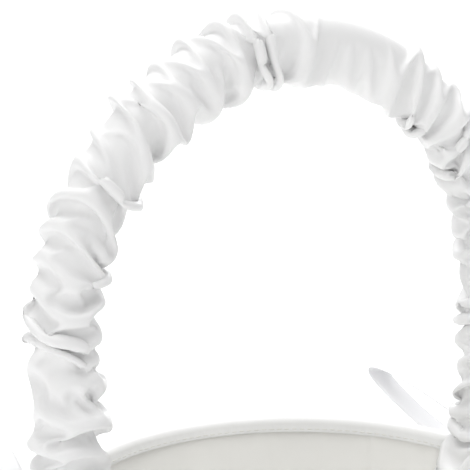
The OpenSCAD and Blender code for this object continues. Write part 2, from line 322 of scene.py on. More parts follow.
def pull_along(x, step, rest, stretch, squeeze):
    """Brings points that are step rows apart to their rest distance, in two sets that share no point."""
    first = np.arange(len(x) - step)
    for half in (0, 1):
        i = first[(first // step) % 2 == half]
        move = pull(x[i], x[i + step], rest, stretch, squeeze)
        x[i] += move
        x[i + step] -= move


def pull_around(x, step, rest, stretch, squeeze, joined):
    """The same for points that are step columns apart round the ring; joined is 0 where a slit parts them."""
    first = np.arange(x.shape[1])
    for half in (0, 1):
        j = first[(first // step) % 2 == half]
        other = (j + step) % x.shape[1]
        move = pull(x[:, j], x[:, other], rest, stretch, squeeze) * joined[:, j, None]
        x[:, j] += move
        x[:, other] -= move


def pull_across(x, rest, grip, joined):
    """The same for the two diagonals of each face."""
    first = np.arange(len(x) - 1)
    for half in (0, 1):
        i = first[first % 2 == half]
        for side in (1, -1):
            open_face = joined[i] if side > 0 else np.roll(joined, 1, 1)[i]
            move = pull(x[i], np.roll(x, -side, 1)[i + 1], rest if np.ndim(rest) == 0 else rest[i], grip, grip)
            move = move * open_face[..., None]
            x[i] += move
            x[i + 1] -= np.roll(move, side, 1)


def near_pairs(points, gap):
    """Pairs of points closer than gap.

    The points are sorted into cells of that size, and each meets those in half of the cells around.
    """
    cell = np.floor(points / gap).astype(np.int64)
    cell -= cell.min(0)
    size = cell.max(0) + 3
    key = (cell[:, 0] + 1) * size[1] * size[2] + (cell[:, 1] + 1) * size[2] + cell[:, 2] + 1
    order = np.argsort(key, kind="stable")
    key = key[order]
    steps = [(a, b, c) for a in (-1, 0, 1) for b in (-1, 0, 1) for c in (-1, 0, 1) if (a, b, c) >= (0, 0, 0)]
    firsts, seconds = [], []
    for a, b, c in steps:
        seek = key + a * size[1] * size[2] + b * size[2] + c
        low = np.arange(1, len(key) + 1) if (a, b, c) == (0, 0, 0) else np.searchsorted(key, seek, "left")
        count = np.maximum(np.searchsorted(key, seek, "right") - low, 0)
        total = int(count.sum())
        step = np.arange(total) - np.repeat(np.cumsum(count) - count, count)
        firsts.append(order[np.repeat(np.arange(len(key)), count)])
        seconds.append(order[np.repeat(low, count) + step])
    one, two = np.concatenate(firsts), np.concatenate(seconds)
    near = np.einsum("ij,ij->i", points[one] - points[two], points[one] - points[two]) < gap * gap
    return one[near], two[near]


def part(x, one, two, gap):
    """Pushes each near pair apart to the gap, shared where a point has several."""
    flat = x.reshape(-1, 3)
    between = flat[one] - flat[two]
    size = np.sqrt(np.einsum("ij,ij->i", between, between)) + 1e-12
    close = size < gap
    one, two = one[close], two[close]
    push = between[close] * (0.25 * (gap - size[close]) / size[close])[:, None]
    shared = np.maximum(1, (np.bincount(one, minlength=len(flat)) + np.bincount(two, minlength=len(flat))) / 3)
    for k in range(3):
        move = np.bincount(one, push[:, k], len(flat)) - np.bincount(two, push[:, k], len(flat))
        flat[:, k] += move / shared


def settle_cloth(x, along, around, joined, fixed, keep_out, force, rounds, gap, damping, bend):
    """Lets a grid of cloth come to rest and returns it.

    Each round moves every point by its damped speed and the force, then restores the cloth: springs
    between rows further apart for stiffness, which bend lists as rows apart and grip, soft
    diagonals, and firm springs of the flat length along and around. Points that come close push
    apart, keep_out holds the cloth off what is inside it, and fixed points stay. along and around
    are rest lengths, joined is 0 across a slit, and gap is the least distance between two layers.
    """
    columns = x.shape[1]
    home = x[fixed].copy()
    speed = np.zeros_like(x)
    slant = np.hypot(along, around if np.ndim(around) == 0 else 0.5 * (around[:-1] + around[1:]))
    one = two = None
    for turn in range(rounds):
        before = x.copy()
        step = speed * damping + force(x)
        x += step * np.minimum(1, LONGEST_STEP / lengths(step))[..., None]
        for apart, grip in bend:
            pull_along(x, apart, apart * along, 0.0, grip)
        pull_around(x, 2, 2 * around, 0.0, bend[0][1], joined * np.roll(joined, -1, 1))
        pull_across(x, slant, 0.15, joined)
        for _ in range(2):
            pull_along(x, 1, along, 0.9, 0.6)
            pull_around(x, 1, around, 0.9, 0.6, joined)
        if gap:
            if turn % 6 == 0:
                one, two = near_pairs(x.reshape(-1, 3), gap * 1.25)
                rows = np.abs(one // columns - two // columns)
                across = np.abs(one % columns - two % columns)
                across = np.minimum(across, columns - across)
                far = (rows > 2) | (across > 2)
                one, two = one[far], two[far]
            part(x, one, two, gap)
        keep_out(x, before)
        x[fixed] = home
        speed = x - before
    return x


# ---- Finishes ----

def node(tree, kind, **inputs):
    """A shader node with some of its sockets set; an underscore stands for a space."""
    made = tree.nodes.new(kind)
    for key, value in inputs.items():
        made.inputs[key.replace("_", " ")].default_value = value
    return made


def new_finish(name, base, roughness, **sockets):
    """A material with a Principled shader whose steady values sit on its own sockets."""
    finish = bpy.data.materials.new(name)
    finish.use_nodes = True
    finish.diffuse_color = (*base, 1)
    shader = finish.node_tree.nodes["Principled BSDF"]
    shader.inputs["Base Color"].default_value = (*base, 1)
    shader.inputs["Roughness"].default_value = roughness
    for key, value in sockets.items():
        shader.inputs[key.replace("_", " ")].default_value = value
    return finish, finish.node_tree, shader


def blend_colours(tree, factor, low, high):
    """A colour that goes from low to high with a factor socket."""
    mix = tree.nodes.new("ShaderNodeMix")
    mix.data_type = "RGBA"
    mix.inputs[6].default_value = (*low, 1)
    mix.inputs[7].default_value = (*high, 1)
    tree.links.new(factor, mix.inputs[0])
    return mix.outputs[2]


def scaled_noise(tree, source, scale, size, detail=3.0, rough=0.55):
    """A noise texture on a coordinate socket; scale stretches it by axis and size is its frequency."""
    place = node(tree, "ShaderNodeMapping", Scale=scale)
    tree.links.new(source, place.inputs["Vector"])
    noise = node(tree, "ShaderNodeTexNoise", Scale=size, Detail=detail, Roughness=rough)
    tree.links.new(place.outputs[0], noise.inputs["Vector"])
    return noise.outputs["Fac"]


def add_bump(tree, shader, height, strength, distance, under=None):
    """Raises the surface by a height socket, on top of an earlier bump if there is one."""
    bump = node(tree, "ShaderNodeBump", Strength=strength, Distance=distance)
    tree.links.new(height, bump.inputs["Height"])
    if under is not None:
        tree.links.new(under, bump.inputs["Normal"])
    tree.links.new(bump.outputs[0], shader.inputs["Normal"])
    return bump.outputs[0]


def satin_finish(name, base, cool, roughness=0.36, thread=0.25 * MM, crush=0.35):
    """White satin: long floats of thread along the cloth, a soft sheen, faint crush marks, a drift of tone."""
    finish, tree, shader = new_finish(
        name, base, roughness, Sheen_Weight=0.22, Sheen_Roughness=0.35, Specular_IOR_Level=0.55, IOR=1.47
    )
    place = tree.nodes.new("ShaderNodeTexCoord")
    cloth, solid = place.outputs["UV"], place.outputs["Object"]
    drift = scaled_noise(tree, solid, (1, 1, 1), 38, 2.5)
    level = node(tree, "ShaderNodeMapRange", From_Min=0.35, From_Max=0.68)
    tree.links.new(drift, level.inputs["Value"])
    tree.links.new(blend_colours(tree, level.outputs[0], base, cool), shader.inputs["Base Color"])
    floats = scaled_noise(tree, cloth, (0.06 / thread, 1 / thread, 1), 1.0, 2.0)
    crushed = scaled_noise(tree, solid, (1, 1, 1), 210, 4.0)
    gloss = node(tree, "ShaderNodeMapRange", To_Min=roughness - 0.07, To_Max=roughness + 0.09)
    tree.links.new(floats, gloss.inputs["Value"])
    tree.links.new(gloss.outputs[0], shader.inputs["Roughness"])
    fine = add_bump(tree, shader, floats, 0.35, 0.05 * MM)
    add_bump(tree, shader, crushed, crush, 0.5 * MM, fine)
    return finish


def plain_finish(name, base, dark, roughness, grain, strength, depth, stretch=(1, 1, 1), **sockets):
    """A solid finish: two tones mixed by a noise of the given grain, which also raises the surface."""
    finish, tree, shader = new_finish(name, base, roughness, **sockets)
    solid = tree.nodes.new("ShaderNodeTexCoord").outputs["Object"]
    noise = scaled_noise(tree, solid, stretch, grain, 5.0, 0.6)
    level = node(tree, "ShaderNodeMapRange", From_Min=0.3, From_Max=0.7)
    tree.links.new(noise, level.inputs["Value"])
    tree.links.new(blend_colours(tree, level.outputs[0], dark, base), shader.inputs["Base Color"])
    gloss = node(tree, "ShaderNodeMapRange", To_Min=max(roughness - 0.08, 0.05), To_Max=min(roughness + 0.1, 1))
    tree.links.new(noise, gloss.inputs["Value"])
    tree.links.new(gloss.outputs[0], shader.inputs["Roughness"])
    add_bump(tree, shader, noise, strength, depth)
    return finish


def toned(tone, factor):
    """A colour times a factor."""
    return tuple(c * factor for c in tone)


def cloth_of(kind):
    """The satin for a part of the basket, made once and then shared."""
    known = bpy.data.materials.get(kind)
    if known:
        return known
    tones = bpy.context.scene.basket_finishes
    base, cool = tuple(tones.satin), tuple(tones.satin_cool)
    makers = {
        "sleeve_satin": lambda: satin_finish(kind, base, cool, 0.34, 0.25 * MM, 0.30),
        "cover_satin": lambda: satin_finish(kind, base, cool, 0.38, 0.25 * MM, 0.30),
        "lining_satin": lambda: satin_finish(
            kind, toned(base, 1.05), toned(cool, 1.05), 0.42, 0.22 * MM, 0.25
        ),
        "cushion_satin": lambda: satin_finish(
            kind, toned(base, 0.96), toned(cool, 0.96), 0.44, 0.25 * MM, 0.3
        ),
        "base_satin": lambda: satin_finish(kind, toned(base, 0.97), cool, 0.42, 0.25 * MM, 0.25),
        "binding_satin": lambda: satin_finish(
            kind, toned(base, 1.07), toned(base, 1.05), 0.36, 0.2 * MM, 0.2
        ),
        "ribbon": lambda: satin_finish(kind, tuple(tones.ribbon), cool, 0.30, 0.18 * MM, 0.15),
        "sewing_thread": lambda: plain_finish(
            kind, tuple(tones.thread), toned(tones.thread, 0.9), 0.6, 2500, 0.4, 0.05 * MM, Sheen_Weight=0.2
        ),
    }
    return makers[kind]()


# ---- The body ----

class BASKET_OT_frame_parts(bpy.types.Operator):
    """Gives the boards, wadding, foam, wire, tabs and rivets of the frame their finishes"""

    bl_idname = "basket.frame_parts"
    bl_label = "Board, padding and metal"

    def execute(self, context):
        tones = context.scene.basket_finishes
        grey, fluff, soft, steel = tones.board, tones.wadding, tones.foam, tones.steel
        board = plain_finish(
            "grey_board", tuple(grey), toned(grey, 0.72), 0.85, 900, 0.5, 0.15 * MM, (1, 1, 0.35)
        )
        wadding = plain_finish(
            "wadding", tuple(fluff), toned(fluff, 0.86), 0.95, 700, 0.9, 0.5 * MM, Sheen_Weight=0.6
        )
        foam = plain_finish("foam", tuple(soft), toned(soft, 0.78), 0.9, 1500, 0.8, 0.3 * MM)
        wire = plain_finish(
            "bright_wire", tuple(steel), toned(steel, 0.8), 0.28, 400, 0.15, 0.03 * MM, (1, 1, 6), Metallic=1.0
        )
        tab = plain_finish(
            "zinc_tab", tuple(steel), toned(steel, 0.7), 0.38, 260, 0.2, 0.05 * MM, Metallic=1.0
        )
        rivet = plain_finish(
            "rivet_steel", toned(steel, 1.1), toned(steel, 0.85), 0.3, 600, 0.2, 0.03 * MM, Metallic=1.0
        )
        finishes = {
            "side_shell": board,
            "base_board": board,
            "side_wadding": wadding,
            "base_pad_foam": foam,
            "handle_foam": foam,
            "handle_wire": wire,
            "handle_tab_left": tab,
            "handle_tab_right": tab,
            "handle_rivets": rivet,
            "rivet_washers": rivet,
        }
        for name, finish in finishes.items():
            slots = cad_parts[name].material_slots
            for slot in slots:
                slot.material = finish
        return {"FINISHED"}


def outer_cover(sizes):
    """The outer cover as rings: turned in under the base, round the corner, and up the wall to the binding.

    The profile is a straight turn-in, a quarter round and the sloping wall. Puckers are ring
    ripples that fade from the binding and from the base, plus a slow swell of the padding.
    """
    corner, sole = 1.6 * MM, COVER_LOW + 0.05 * MM
    under = np.linspace(cover_r(COVER_LOW) - sizes.turn_in, cover_r(COVER_LOW) - corner, 7)
    bend = np.linspace(0, np.pi / 2, 9)[1:-1]
    rise = np.linspace(0, 1, 74)
    low_z, top_z = COVER_LOW + corner, WALL_TOP - 0.3 * MM
    climb = low_z + (top_z - low_z) * rise
    r = np.concatenate([under, cover_r(COVER_LOW) - corner + corner * np.sin(bend), cover_r(climb)])
    z = np.concatenate([np.full(len(under), sole), sole + corner * (1 - np.cos(bend)), climb])
    a, zz = np.meshgrid(ring_angles(384), z, indexing="xy")
    rr = np.broadcast_to(r[:, None], zz.shape).copy()
    up = (zz - COVER_LOW) / (WALL_TOP - COVER_LOW)
    near_top = np.exp(-((1 - up) / 0.16) ** 1.4)
    near_low = np.exp(-(up / 0.12) ** 1.3) * ease(zz, COVER_LOW, COVER_LOW + 4 * MM)
    rows = ripple(a + 0.05 * up, (61, 83, 47, 72), 5) * near_top
    rows += ripple(a - 0.04 * up, (54, 77, 66), 6) * near_low
    swell = ripple(a + 0.6 * up, (5, 9, 14), 7) * np.sin(np.pi * np.clip(up, 0, 1)) * 0.35 * MM
    drag = ripple(a + 0.35 * up, (23, 31, 19), 8) * np.sin(np.pi * np.clip(up, 0, 1)) ** 2 * 0.18 * MM
    tuck = -0.5 * MM * ease(up, 0.955, 1.0)
    rr += sizes.pucker * rows + swell + drag + tuck - 0.15 * MM
    return round_axis(rr, a, zz)


class BASKET_OT_outer_cover(bpy.types.Operator):
    """Makes the padded satin cover of the wall and the satin disc under the base"""

    bl_idname = "basket.outer_cover"
    bl_label = "Outer cover and base cover"

    def execute(self, context):
        sizes = context.scene.basket_body
        rings = outer_cover(sizes)
        around = 2 * np.pi * cover_r(WALL_TOP / 2)
        tall = float(np.linalg.norm(np.diff(rings[:, 0], axis=0), axis=1).sum())
        cover = grid_piece("outer_cover_satin", rings, (tall, around))
        give_thickness(cover, sizes.cloth_t)
        dress(cover, cloth_of("cover_satin"), "cover_satin", "outer_cover")

        disc = base_disc()
        under = grid_piece("base_cover_satin", disc, (0.06, 2 * np.pi * 0.03), weld=True)
        dress(under, cloth_of("base_satin"), "base_satin", "base_cover")
        hem_r = reach("base_cover", 1, 0) - 0.1 * MM
        stitch_ring("base_hem_stitches", hem_r, 0.55 * MM, 96, 1.6 * MM, tilt=0.9)
        return {"FINISHED"}


def base_disc():
    """The satin disc under the base: a closed flat cushion profile carried round the Z axis.

    The profile runs from the middle of the underside, out along it, round the folded edge and
    back along the top to the middle; shallow ring ripples draw in towards the sewn edge.
    """
    low, top = reach("base_cover", 0, 2), reach("base_cover", 1, 2)
    wide = reach("base_cover", 1, 0)
    half = (top - low) / 2
    out = np.linspace(0, 1, 26)
    bend = np.linspace(-np.pi / 2, np.pi / 2, 9)[1:-1]
    r = np.concatenate([out * (wide - half), wide - half + half * np.cos(bend), out[::-1] * (wide - half)])
    z = np.concatenate([np.full(26, low), low + half + half * np.sin(bend), np.full(26, top)])
    a, rr = np.meshgrid(ring_angles(192), r, indexing="xy")
    zz = np.broadcast_to(z[:, None], rr.shape).copy()
    pulled = ease(rr, wide * 0.8, wide * 0.97) * 0.12 * MM * ripple(a, (37, 52, 45), 9)
    zz += np.where(zz < low + half, np.abs(pulled), 0)
    return round_axis(rr, a, zz)


def stitch_ring(name, radius, height, count, size, tilt=0.0, side=1.0):
    """A ring of sewn stitches in one mesh.

    A stitch is a plump thread of six-sided rings along t from -1 to 1. It bows outwards by
    (1 - t squared) and dips into the cloth at both ends. Each is the same small grid at its own angle.
    """
    rings, sides = 7, 6
    t = np.linspace(-1, 1, rings)
    spin = ring_angles(sides)
    thick = 0.17 * MM * np.sqrt(np.maximum(1 - t ** 4, 0.03))
    along = size / 2 * t
    out = 0.16 * MM * (1 - t ** 2) - 0.05 * MM
    cx = (out[:, None] + thick[:, None] * np.cos(spin)).ravel()
    local_z = thick[:, None] * np.sin(spin)
    cy = (along[:, None] * math.cos(tilt) - local_z * math.sin(tilt)).ravel()
    cz = (along[:, None] * math.sin(tilt) + local_z * math.cos(tilt)).ravel()
    wobble = np.random.default_rng(count).normal(0, 0.04, count) * MM
    turn = ring_angles(count)[:, None] + cy[None] / radius
    points = round_axis(radius + side * cx[None], turn, height + cz[None] + wobble[:, None])
    faces = grid_faces(rings, sides, True)
    first = np.array([[0, 1, 2, 3], [3, 4, 5, 0]])
    last = first[:, ::-1] + (rings - 1) * sides
    ids = np.concatenate([faces[..., 0] * sides + faces[..., 1] % sides, first, last])
    if side > 0:
        ids = ids[:, ::-1]
    every = (ids[None] + np.arange(count)[:, None, None] * rings * sides).reshape(-1, 4)
    mesh = bpy.data.meshes.new(name)
    mesh.from_pydata(points.reshape(-1, 3).tolist(), [], every.tolist())
    mesh.shade_smooth()
    piece = bpy.data.objects.new(name, mesh)
    bpy.context.scene.collection.objects.link(piece)
    dress(piece, cloth_of("sewing_thread"), "binding_satin")
    return piece


def side_lining(sizes):
    """The lining as rings from the binding down to the base, hanging in soft folds.

    It leaves the wall below the binding: the stand-off is the slack times a mix of slow ring ripples
    that grows down from there. Near each handle foot the sleeve's stitching draws the lining into
    closer folds. The seam is a narrow ridge at one angle, with the cloth drawn in beside it.
    """
    z = np.linspace(BINDING_LOW + 1.2 * MM, LINING_LOW + 0.3 * MM, 90)
    a, zz = np.meshgrid(ring_angles(420), z, indexing="xy")
    down = (WALL_TOP - zz) / (WALL_TOP - LINING_LOW)
    wander = a + 0.10 * np.sin(3 * a + 9 * down) + 0.06 * down
    soft = 0.5 + 0.5 * ripple(wander, (11, 17, 26, 7), 21)
    grow = ease(down, 0.02, 0.22) * (1 - 0.55 * ease(down, 0.6, 1.0))
    from_side = np.mod(a + np.pi / 2, np.pi)
    foot = np.exp(-(((from_side - np.pi / 2) / 0.30) ** 2))
    drawn = foot * (0.5 + 0.5 * np.cos(46 * from_side + 5 * down)) * (1 - ease(down, 0.3, 0.8))
    puckers = ripple(a, (93, 71, 118), 22) * np.exp(-(down / 0.09) ** 1.5) * 0.14 * MM
    off = (np.mod(a - SEAM_AT + np.pi, 2 * np.pi) - np.pi) * CREST_R
    seam = 0.45 * MM * np.exp(-((off / (0.5 * MM)) ** 2)) + 0.3 * MM * np.exp(-((off / (5 * MM)) ** 2))
    stand = sizes.slack * np.clip(0.95 * soft * grow + 0.5 * drawn, 0, 1.15) + seam + puckers
    rr = cover_r(zz) - sizes.wall_stack - 0.35 * MM - np.maximum(stand, 0)
    return round_axis(rr, a, zz)


class BASKET_OT_lining(bpy.types.Operator):
    """Makes the satin lining inside the wall"""

    bl_idname = "basket.lining"
    bl_label = "Side lining"

    def execute(self, context):
        sizes = context.scene.basket_body
        rings = side_lining(sizes)
        lining = grid_piece("side_lining_satin", rings, (0.096, 0.43))
        give_thickness(lining, sizes.cloth_t)
        dress(lining, cloth_of("lining_satin"), "lining_satin", "side_lining")
        return {"FINISHED"}


def cushion_top(sizes):
    """The cushion's satin settled over its foam.

    Rings of cloth a little larger than the finished cushion start as a low dome, are blown
    outwards by a light pressure, rest on the rounded foam and are held at the tucked-in edge,
    so the spare cloth gathers into puckers round the side. The middle is then laid flat.
    """
    rings, columns = sizes.cushion_rings, 224
    wide = reach("base_pad_cover", 1, 0) - 0.4 * MM
    low, top = reach("base_pad_cover", 0, 2), reach("base_pad_cover", 1, 2)
    foam_r, foam_top = reach("base_pad_foam", 1, 0), reach("base_pad_foam", 1, 2)
    flat_r = (wide + 3.2 * MM) * sizes.cushion_fullness
    t = np.linspace(0.004, 1, rings)
    along = flat_r / (rings - 1)
    around = (2 * np.pi * flat_r * t / columns)[:, None]
    dome = np.clip(1 - t ** 10, 0, 1) ** 0.6
    a, r = np.meshgrid(ring_angles(columns), wide * t, indexing="xy")
    rng = np.random.default_rng(11)
    z = low + 0.4 * MM + (top - low - 0.6 * MM) * np.broadcast_to(dome[:, None], a.shape)
    x = round_axis(r, a, z) + rng.normal(0, 0.03 * MM, (rings, columns, 3))
    x[..., 2] += 1.3 * MM * ripple(a, (21, 34, 47, 60, 13), 12) * t[:, None] ** 3
    x[-1, :, 2] = low + 0.4 * MM
    fixed = np.zeros((rings, columns), bool)
    fixed[-1] = True
    edge = 2.2 * MM

    def press(points):
        """Light pressure along the cloth's own outward direction."""
        one = np.gradient(points, axis=0)
        two = np.roll(points, -1, 1) - np.roll(points, 1, 1)
        out = np.cross(one, two)
        return out / (np.linalg.norm(out, axis=-1, keepdims=True) + 1e-12) * 0.010 * MM

    def rest_on_foam(points, before):
        """Keeps the cloth over the foam disc's rounded edge and inside the wall's lining."""
        radius = np.hypot(points[..., 0], points[..., 1]) + 1e-9
        over = np.maximum(radius - (foam_r - edge), 0)
        floor_z = foam_top - edge + np.sqrt(np.maximum(edge ** 2 - over ** 2, 0)) + 0.15 * MM
        inside = (radius < foam_r) & (points[..., 2] > foam_top - edge)
        points[..., 2] = np.where(inside, np.maximum(points[..., 2], floor_z), points[..., 2])
        points[..., 2] = np.clip(points[..., 2], low + 0.35 * MM, top + 1.2 * MM)
        limit = np.minimum(radius, wide + 0.3 * MM) / radius
        points[..., 0] *= limit
        points[..., 1] *= limit

    rounds = 260
    joined = np.ones((rings, columns))
    cloth = settle_cloth(x, along, around, joined, fixed, rest_on_foam, press, rounds, 0, 0.92, CUSHION_BEND)
    calm = ease(t, 0.5, 0.08)[:, None]
    cloth[..., 2] = cloth[..., 2] * (1 - calm) + cloth[rings // 4, :, 2].mean() * calm
    outwards = np.stack([np.cos(a), np.sin(a)], -1)
    level = (wide * t)[:, None, None] * outwards
    cloth[..., :2] = cloth[..., :2] * (1 - calm[..., None]) + level * calm[..., None]
    return cloth


class BASKET_OT_cushion(bpy.types.Operator):
    """Makes the satin-covered cushion on the base"""

    bl_idname = "basket.cushion"
    bl_label = "Base cushion"

    def execute(self, context):
        sizes = context.scene.basket_body
        top = cushion_top(sizes)
        middle = top[:1].mean(1, keepdims=True) * np.ones((1, top.shape[1], 1))
        low = reach("base_pad_cover", 0, 2)
        shrink = np.array([0.985, 0.9, 0.7, 0.4, 0.15, 0.0])
        under = top[-1:] * shrink[:, None, None]
        under[..., 2] = low + 0.1 * MM
        points = np.concatenate([middle, top, under])
        cushion = grid_piece("base_cushion_satin", points, (0.13, 0.19), flip=True, weld=True)
        dress(cushion, cloth_of("cushion_satin"), "lining_satin", "base_pad_cover")
        return {"FINISHED"}


def binding_band(thick):
    """The bias binding as a folded profile carried round the rim.

    The profile runs up the outside, over a half round and down the inside, then back along its
    inner face, so the band is closed. Fine slanting ripples, strongest towards both lower edges,
    show where the bias cloth is drawn round the curve.
    """
    crest = np.linspace(0, np.pi, 25)
    leg = np.linspace(0, 1, 8)[:-1]
    leg_h = WALL_TOP - BINDING_LOW
    out_r = BINDING_R
    x_leg = SLOPE * leg_h
    outside = np.stack([out_r - x_leg * (1 - leg), -leg_h * (1 - leg)], -1)
    over = np.stack([out_r * np.cos(crest), out_r * np.sin(crest)], -1)
    inside = np.stack([-out_r - x_leg * leg[1:], -leg_h * leg[1:]], -1)
    inside = np.concatenate([inside, [[-out_r - x_leg, -leg_h]]])
    face = np.concatenate([outside, over, inside])
    way = np.gradient(face, axis=0)
    way /= np.linalg.norm(way, axis=1, keepdims=True)
    inward = np.stack([-way[:, 1], way[:, 0]], -1)
    back = (face + inward * thick)[::-1]
    profile = np.concatenate([face, back])
    a, px = np.meshgrid(ring_angles(480), profile[:, 0], indexing="xy")
    pz = np.broadcast_to(profile[:, 1][:, None], px.shape)
    level = np.linspace(-1, 1, len(face))
    level = np.concatenate([level, level[::-1]])[:, None]
    edge = np.clip(np.abs(level), 0, 1) ** 2
    slant = ripple(a + 0.035 * level, (131, 97, 163), 31) * (0.25 + 0.75 * edge) * 0.10 * MM
    swell = ripple(a, (7, 13, 19), 32) * 0.12 * MM
    outward = np.concatenate([-inward, -inward[::-1]])
    px = px + outward[:, :1] * (slant + swell)
    pz = pz + outward[:, 1:] * (slant + swell)
    return round_axis(CREST_R + px, a, WALL_TOP + pz)


class BASKET_OT_binding(bpy.types.Operator):
    """Makes the satin binding of the rim and its stitches"""

    bl_idname = "basket.binding"
    bl_label = "Rim binding"

    def execute(self, context):
        points = binding_band(0.5 * MM)
        closed = np.concatenate([points, points[:1]])
        band = grid_piece("rim_binding_satin", closed, (0.034, 0.471), weld=True)
        dress(band, cloth_of("binding_satin"), "binding_satin", "rim_binding")
        up = BINDING_LOW + 1.1 * MM
        outer = CREST_R + BINDING_R - SLOPE * (WALL_TOP - up)
        inner = CREST_R - BINDING_R - SLOPE * (WALL_TOP - up)
        stitch_ring("binding_stitches_outside", outer, up, 168, 2.2 * MM)
        stitch_ring("binding_stitches_inside", inner, up, 160, 2.2 * MM, side=-1.0)
        return {"FINISHED"}


# ---- The handle sleeve ----

# The radius that the gathers start from, where round the tube the inner flap begins, how far a tab
# and its rivets stand off the cover, and the clearance over the binding.
LOOSE_CORE = 7.3 * MM
FLAP_FROM = math.radians(118)
TAB_OUT = 2.5 * MM
RIM_CLEAR = 0.6 * MM


class HandlePath:
    """The handle's centre line: the left foot, the left leg, the arch, the right leg and the right foot.

    It is measured by the distance u from the left foot, at the top of the wall. Below the rim the
    sleeve's feet lean in with the wall, so the line bends there.
    """

    def __init__(self, lean):
        self.lean = lean
        self.leg = (ARCH_Z - ARCH_R * math.sin(lean) - WALL_TOP) / math.cos(lean)
        self.foot_x = ARCH_R * math.cos(lean) - self.leg * math.sin(lean)
        self.total = 2 * self.leg + ARCH_R * (math.pi + 2 * lean)
        self.foot_lean = math.atan(SLOPE) - math.radians(2.5)

    def at(self, u):
        """Point, direction and outward normal at each distance in u."""
        side = np.where(u < self.total / 2, -1.0, 1.0)
        rise = np.where(side < 0, u, self.total - u)
        turn = math.pi / 2 + self.lean - np.clip(rise - self.leg, 0, None) / ARCH_R
        angle = math.pi / 2 + np.where(rise > self.leg, turn, 0)
        tilt = np.where(rise < 0, self.foot_lean, self.lean)
        leg_x = self.foot_x + rise * np.sin(tilt)
        leg_z = WALL_TOP + rise * np.cos(tilt)
        on_arch = rise > self.leg
        x = np.where(on_arch, -ARCH_R * np.cos(angle), leg_x)
        z = np.where(on_arch, ARCH_Z + ARCH_R * np.sin(angle), leg_z)
        nx = np.where(on_arch, -np.cos(angle), np.cos(tilt))
        nz = np.where(on_arch, np.sin(angle), -np.sin(tilt))
        zero = np.zeros_like(u)
        point = np.stack([side * x, zero, z], -1)
        out = np.stack([side * nx, zero, nz], -1)
        ahead = np.stack([out[:, 2], zero, -out[:, 0]], -1)
        return point, ahead, out

    def nearest(self, x):
        """The nearest point of the centre line to each point, and how far up the leg it is."""
        side = np.where(x[..., 0] < 0, -1.0, 1.0)
        across, z = np.abs(x[..., 0]), x[..., 2]
        up = (across - self.foot_x) * math.sin(self.lean) + (z - WALL_TOP) * math.cos(self.lean)
        size = np.hypot(across, z - ARCH_Z) + 1e-9
        on_arch = up > self.leg
        px = np.where(on_arch, ARCH_R * across / size, self.foot_x + up * math.sin(self.lean))
        pz = np.where(on_arch, ARCH_Z + ARCH_R * (z - ARCH_Z) / size, WALL_TOP + up * math.cos(self.lean))
        return np.stack([px * side, np.zeros_like(px), pz], -1), up


def gathered_tube(path, sizes, rows, turn):
    """The sleeve before it settles: a tube whose radius rises and falls along the handle.

    Radius: the core plus a fold of (1 - cos of phase). The phase grows by one turn a pitch, wanders,
    and shifts round the tube, so the gathers run slantwise. Crests are moved along by sin of phase,
    which narrows the valleys, and down by the droop. The rows are evenly spaced along the cloth.
    """
    start, end = -sizes.outer_drop, path.total + sizes.outer_drop
    u = np.linspace(start, end, 5200)
    smooth = np.exp(-((u - path.total * sizes.smooth_at) / sizes.smooth_half) ** 4)
    foot = ease(u, start, start + 26 * MM) * ease(end - u, 0, 26 * MM)
    full = (1 - smooth) * (0.25 + 0.75 * foot)
    v = u / MM
    phase = 2 * np.pi * v / (sizes.pitch / MM)
    phase = phase + 1.5 * np.sin(0.071 * v + 1) + 0.8 * np.sin(0.133 * v + 2)
    phase = phase + 0.3 * np.sin(0.29 * v)
    slant = sizes.slant + 0.9 * np.sin(0.11 * v + 0.3)
    slant_at = 2.5 * np.sin(0.031 * v) + 1.7 * np.sin(0.087 * v + 0.5)
    point, ahead, out = path.at(u)
    across = np.array([0.0, 1.0, 0.0])
    a = turn[None]
    ph = phase[:, None] + slant[:, None] * np.sin(a - slant_at[:, None])
    ph = ph + 0.9 * np.sin(2 * a + 0.06 * v[:, None])
    height = sizes.fold * (1 + 0.3 * np.sin(0.21 * v[:, None] + a)) * full[:, None]
    flare = 2.2 * MM * np.exp(-((np.minimum(u, path.total - u) - 8 * MM) / (11 * MM)) ** 2)
    r = LOOSE_CORE + height * (1 - np.cos(ph)) + 1.0 * MM * smooth[:, None]
    r = r - flare[:, None] * np.minimum(np.cos(a), 0)
    droop = -sizes.droop * ahead[:, 2][:, None] * (1 - np.cos(ph)) / 2 * full[:, None]
    shift = 1.5 * MM * np.sin(ph) * full[:, None] + droop
    x = point[:, None] + out[:, None] * (r * np.cos(a))[..., None] + across * (r * np.sin(a))[..., None]
    x = x + ahead[:, None] * shift[..., None]
    columns = [spaced(np.concatenate([x[:, j], u[:, None]], 1), rows, 3) for j in range(len(turn))]
    even = np.stack(columns, 1)
    return even[..., :3].copy(), even[..., 3].mean(1)


